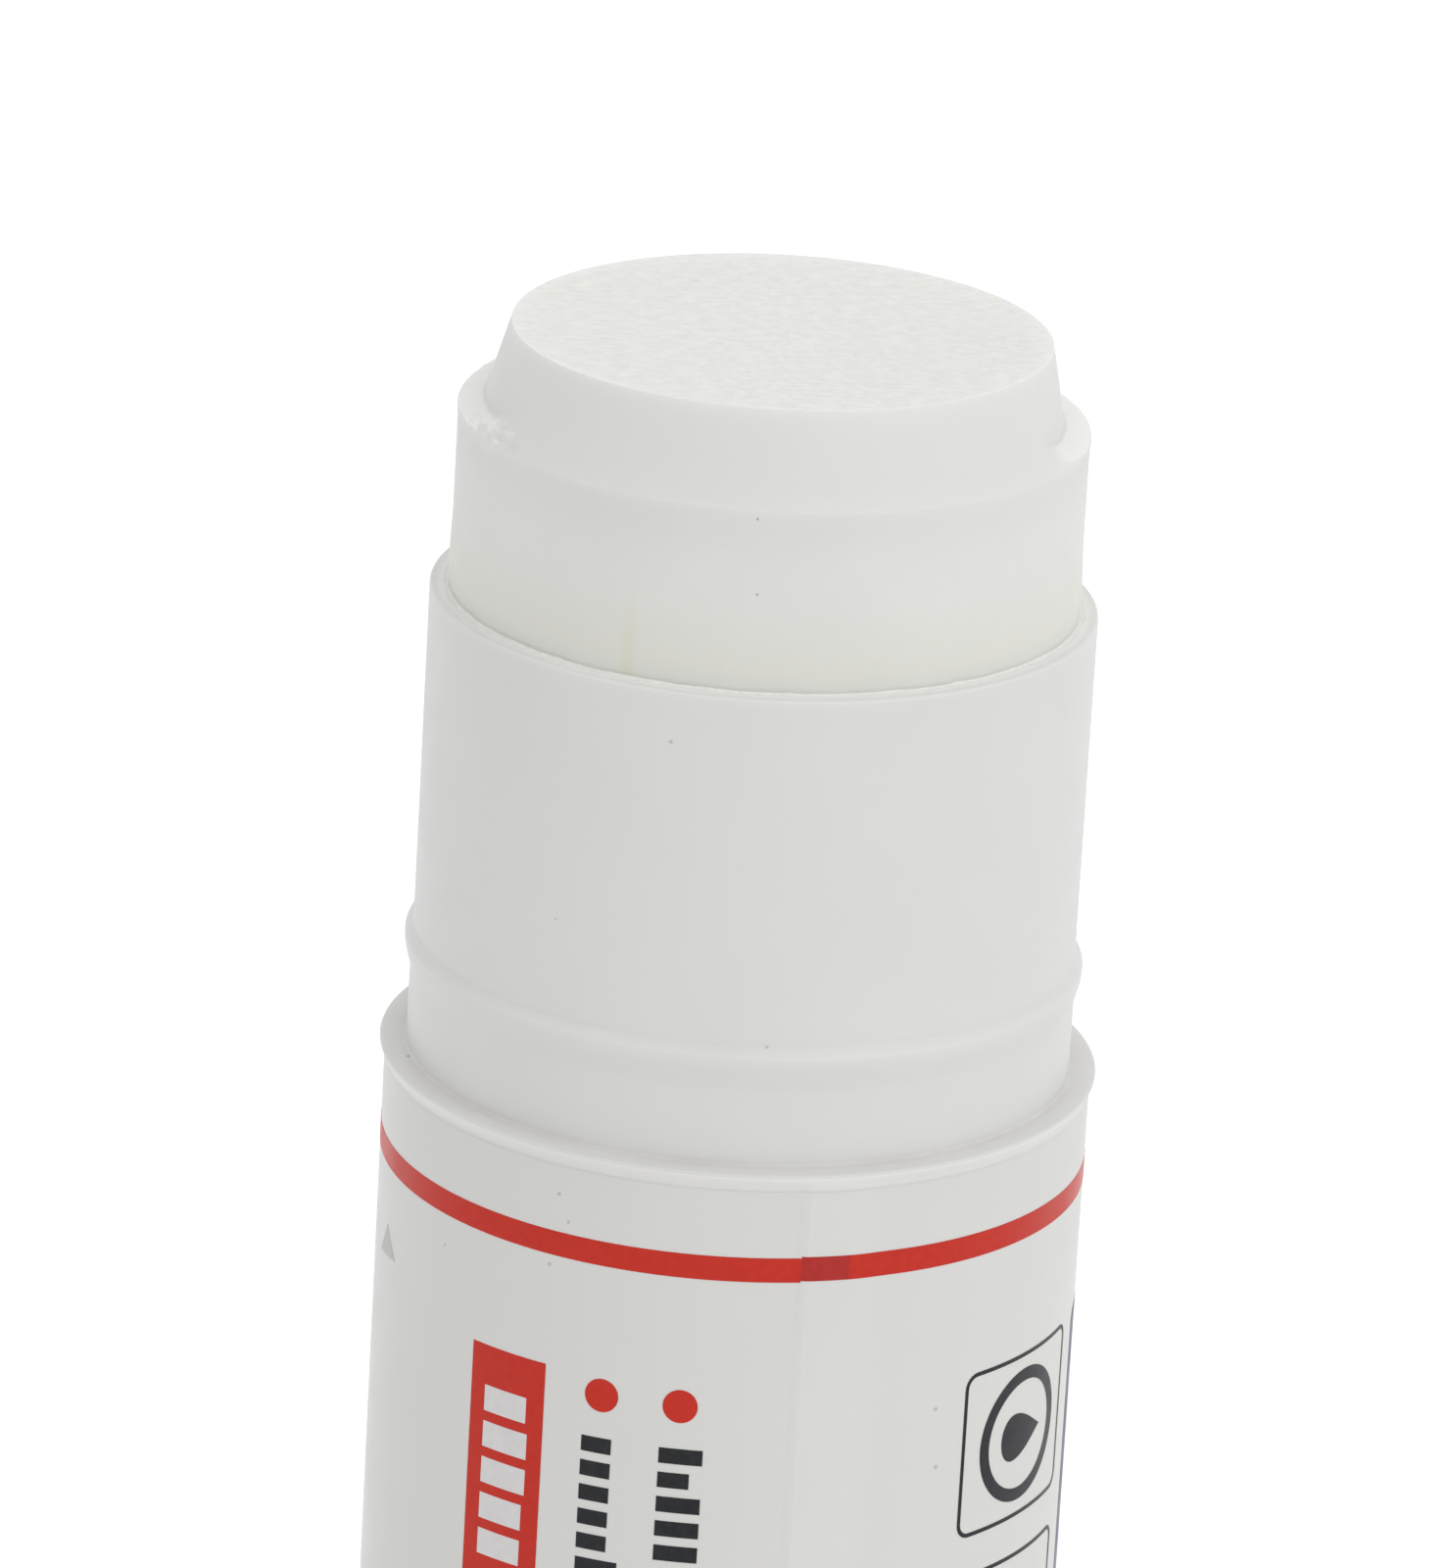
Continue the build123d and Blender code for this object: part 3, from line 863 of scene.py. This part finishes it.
def box_outline(left, foot, right, top, corner=0.0, steps=6):
    """A rectangle, with rounded corners if a corner radius is given."""
    if not corner:
        return [(left, foot), (right, foot), (right, top), (left, top)]
    corners = [
        (right - corner, top - corner, 0),
        (left + corner, top - corner, 90),
        (left + corner, foot + corner, 180),
        (right - corner, foot + corner, 270),
    ]
    return [
        point
        for x, y, first in corners
        for point in bend((x, y), corner, first, first + 90, steps)
    ]


def disc_outline(x, y, radius, steps=48):
    """A circle."""
    return bend((x, y), radius, 0, 360 - 360 / steps, steps - 1)


def drop_outline(x, y, length, height_share=0.95, taper=1.4, steps=60):
    """A drop lying on its side, its tip towards +X of the front."""
    return [
        (
            x + length / 2 * math.cos(turn),
            y + length / 2 * height_share * math.sin(turn) * math.sin(turn / 2) ** taper,
        )
        for turn in [math.tau * (k + 0.5) / steps for k in range(steps)]
    ]


def printed(name, outlines, ink_material, raised=ink):
    """A thin layer of ink on the label. A second outline inside the first is a hole."""
    bm = bmesh.new()
    for outline in outlines:
        ring = [bm.verts.new((x, y, 0)) for x, y in outline]
        for start, end in zip(ring, ring[1:] + ring[:1]):
            bm.edges.new((start, end))
    bmesh.ops.triangle_fill(bm, use_beauty=True, edges=bm.edges[:], normal=(0, 0, 1))
    places = [x for outline in outlines for x, y in outline]
    step = round_at(ink_cut_angle)
    first, last = math.ceil(min(places) / step), math.ceil(max(places) / step)
    cuts = [k * step for k in range(first, last)]
    cuts += [round_at(angle + whole) for angle in rise_angles for whole in (0, 360)]
    for cut in cuts:
        everything = bm.verts[:] + bm.edges[:] + bm.faces[:]
        bmesh.ops.bisect_plane(bm, geom=everything, plane_co=(cut, 0, 0), plane_no=(1, 0, 0))
    for vert in bm.verts:
        vert.co.z = -ink_sunk
    lifted = bmesh.ops.extrude_face_region(bm, geom=bm.faces[:])
    for vert in lifted["geom"]:
        if isinstance(vert, bmesh.types.BMVert):
            vert.co.z = raised
    for vert in bm.verts:
        angle = math.degrees(vert.co.x / label_r)
        vert.co = around(angle, label_surface(angle) + vert.co.z, shoulder_z + vert.co.y)
    piece = finish_mesh(name, bm, ink_material)
    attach(piece, "barrel")
    return piece


red_ink = printed_ink("red_ink", (0.57, 0.032, 0.018), (0.54, 0.027, 0.015))
double_red_ink = printed_ink("double_red_ink", (0.45, 0.031, 0.027), (0.42, 0.026, 0.023))
black_ink = printed_ink("black_ink", (0.022, 0.023, 0.026), (0.014, 0.015, 0.018))
white_ink = printed_ink("white_ink", (0.72, 0.70, 0.70), (0.68, 0.66, 0.66))
navy_ink = printed_ink("navy_ink", (0.04, 0.05, 0.13), (0.03, 0.04, 0.10))
grey_ink = printed_ink("grey_ink", (0.51, 0.51, 0.50), (0.49, 0.49, 0.48))

band_top = -3.2
band_height = 0.93
band_skew = 0.07
plate_left = -43.6
plate_right = -28.9
plate_top = -8.37
plate_foot = -43.0
plate_word_top = -9.9
plate_word_foot = -40.5
dot_r = 0.64
dot_down = -9.1
column_angles = (-18.9, -6.0)
words_top = -10.75
words_foot = -52.0
letter_low = 1.15
letter_tall = 1.6
letter_length = 0.6
letter_gap = 0.35
plate_letter_low = 1.9
plate_letter_tall = 2.0
plate_letter_length = 1.0
plate_letter_gap = 0.4
word_gap = 1.1
word_shortest = 3
word_longest = 8
tall_share = 0.4
outline_box_left = 43.5
outline_box_right = 75.0
outline_box_top = -8.7
outline_box_height = 6.5
outline_box_step = 8.0
outline_box_corner = 0.6
outline_width = 0.16
ring_r = 2.6
ring_width = 0.5
drop_length = 2.7
panel_left = 81.4
panel_right = 205.0
panel_top = -8.8
panel_foot = -52.0
panel_corner = 0.6
triangle_points = ((-77.0, -7.6), (-68.6, -7.4), (-73.2, -6.3))


def skewed_band(first, last, top_here, top_there):
    """A piece of the red band between two angles, its top at one height at each end."""
    start, end = round_at(first), round_at(last)
    return [
        (start, top_here - band_height),
        (end, top_there - band_height),
        (end, top_there),
        (start, top_here),
    ]


lap_share = (lap_to - lap_from) / 360
band_at_lap = band_top + band_skew * (1 - lap_share)
over_lap = skewed_band(lap_from, lap_to, band_top + band_skew, band_at_lap)
beyond_lap = skewed_band(lap_to, lap_from + 360, band_at_lap, band_top)
printed("band_lap", [over_lap], double_red_ink)
printed("band", [beyond_lap], red_ink)

plate = box_outline(round_at(plate_left), plate_foot, round_at(plate_right), plate_top)
printed("red_plate", [plate], red_ink)

rng = random.Random(SEED)


def word_blocks(name, angle, top, foot, low, tall, length, gap, ink_material, raised=ink):
    """Plain blocks that stand for words, in a column down the label at an angle."""
    left = round_at(angle) - (low + tall) / 4
    blocks = []
    while top - length > foot:
        for _ in range(rng.randint(word_shortest, word_longest)):
            if top - length < foot:
                break
            width = tall if rng.random() < tall_share else low
            blocks.append(box_outline(left, top - length, left + width, top))
            top -= length + gap
        top -= word_gap
    printed(name, blocks, ink_material, raised)


for number, angle in enumerate(column_angles):
    printed(f"dot_{number}", [disc_outline(round_at(angle), dot_down, dot_r)], red_ink)
    sizes = (letter_low, letter_tall, letter_length, letter_gap)
    word_blocks(f"words_{number}", angle, words_top, words_foot, *sizes, black_ink)
plate_middle = (plate_left + plate_right) / 2
sizes = (plate_letter_low, plate_letter_tall, plate_letter_length, plate_letter_gap)
plate_ends = (plate_word_top, plate_word_foot)
word_blocks("plate_words", plate_middle, *plate_ends, *sizes, white_ink, ink * 2)

for number in range(2):
    top = outline_box_top - outline_box_step * number
    left, right = round_at(outline_box_left), round_at(outline_box_right)
    outer = box_outline(left, top - outline_box_height, right, top, outline_box_corner)
    inner = box_outline(
        left + outline_width,
        top - outline_box_height + outline_width,
        right - outline_width,
        top - outline_width,
        outline_box_corner - outline_width,
    )
    printed(f"outline_box_{number}", [outer, inner], black_ink)

ring_middle = round_at((outline_box_left + outline_box_right) / 2)
ring_height = outline_box_top - outline_box_height / 2
ring_outlines = [
    disc_outline(ring_middle, ring_height, radius, steps=72)
    for radius in (ring_r, ring_r - ring_width)
]
printed("ring", ring_outlines, black_ink)
printed("drop", [drop_outline(ring_middle, ring_height, drop_length)], black_ink)

left, right = round_at(panel_left), round_at(panel_right)
panel = box_outline(left, panel_foot, right, panel_top, panel_corner)
printed("navy_panel", [panel], navy_ink)

triangle = [(round_at(angle), height) for angle, height in triangle_points]
printed("grey_triangle", [triangle], grey_ink)

# The CAD pieces that stay
for node in ("twist_knob", "carrier_cup", "lead_screw", "cap"):
    finish = moulded_plastic(f"{node}_plastic").material
    mesh = frame["nodes"][node].data
    mesh.materials.clear()
    mesh.materials.append(finish)

# Floor and light: a pale table, white to the camera but for shadows, under a soft white sky
floor_radius = 1400.0
floor_colour = (0.9, 0.9, 0.9)
floor_lift = 0.3
sky = 0.80
key_strength = 0.60
key_towards = Vector((0.59, -0.59, 0.55))
key_spread = 50.0


def seen_directly(nodes, links):
    """1 for rays from the camera, from gloss or through glass, and 0 for light that falls."""
    path = nodes.new("ShaderNodeLightPath")
    either = path.outputs["Is Camera Ray"]
    for kind in ("Is Glossy Ray", "Is Transmission Ray"):
        node = nodes.new("ShaderNodeMath")
        node.operation = "MAXIMUM"
        links.new(either, node.inputs[0])
        links.new(path.outputs[kind], node.inputs[1])
        either = node.outputs["Value"]
    return either


def lay_floor():
    """A round table top under the stick."""
    bm = bmesh.new()
    bmesh.ops.create_circle(bm, cap_ends=True, segments=96, radius=floor_radius * MM)
    material = bpy.data.materials.new("table")
    material.use_nodes = True
    nodes, links = material.node_tree.nodes, material.node_tree.links
    nodes.clear()
    output = nodes.new("ShaderNodeOutputMaterial")
    lit = value(nodes.new("ShaderNodeBsdfDiffuse"), Color=(*floor_colour, 1.0))
    glow = nodes.new("ShaderNodeEmission")
    both = nodes.new("ShaderNodeAddShader")
    strength = nodes.new("ShaderNodeMath")
    strength.operation = "MULTIPLY"
    strength.inputs[1].default_value = floor_lift
    links.new(seen_directly(nodes, links), strength.inputs[0])
    links.new(strength.outputs["Value"], glow.inputs["Strength"])
    links.new(lit.outputs["BSDF"], both.inputs[0])
    links.new(glow.outputs["Emission"], both.inputs[1])
    links.new(both.outputs["Shader"], output.inputs["Surface"])
    floor = finish_mesh("table", bm, material)


def light_sky():
    """An even sky that lights softly and looks white."""
    world = bpy.data.worlds.new("sky")
    world.use_nodes = True
    bpy.context.scene.world = world
    nodes, links = world.node_tree.nodes, world.node_tree.links
    background = value(nodes["Background"], Color=(1.0, 1.0, 1.0, 1.0))
    reach = nodes.new("ShaderNodeMapRange")
    value(reach, To_Min=sky, To_Max=1.0)
    links.new(seen_directly(nodes, links), reach.inputs["Value"])
    links.new(reach.outputs["Result"], background.inputs["Strength"])


def light_key():
    """A broad soft lamp, halfway between front and right and a third of the way up."""
    lamp = bpy.data.lights.new("key", "SUN")
    lamp.energy = key_strength
    lamp.angle = math.radians(key_spread)
    key = bpy.data.objects.new("key", lamp)
    key.rotation_euler = key_towards.to_track_quat("Z", "Y").to_euler()
    bpy.context.scene.collection.objects.link(key)


# Camera: the photograph's place, measured against the stick's own rings
camera_place = (-1.10, -372.15, 214.25)
camera_down = 18.99
camera_roll = 3.28
camera_lens = 247.5
camera_sensor = 36.0


def set_camera():
    """A long lens in front of the stick, looking down at it and rolled a little."""
    camera = bpy.data.objects.new("camera", bpy.data.cameras.new("camera"))
    camera.data.lens = camera_lens
    camera.data.sensor_width = camera_sensor
    camera.data.sensor_fit = "AUTO"
    tilt = Matrix.Rotation(math.radians(90 - camera_down), 4, "X")
    roll = Matrix.Rotation(math.radians(camera_roll), 4, "Z")
    camera.matrix_world = Matrix.Translation(Vector(camera_place) * MM) @ tilt @ roll
    bpy.context.scene.collection.objects.link(camera)
    bpy.context.scene.camera = camera


lay_floor()
light_sky()
light_key()
set_camera()
bpy.context.scene.view_settings.view_transform = "Standard"
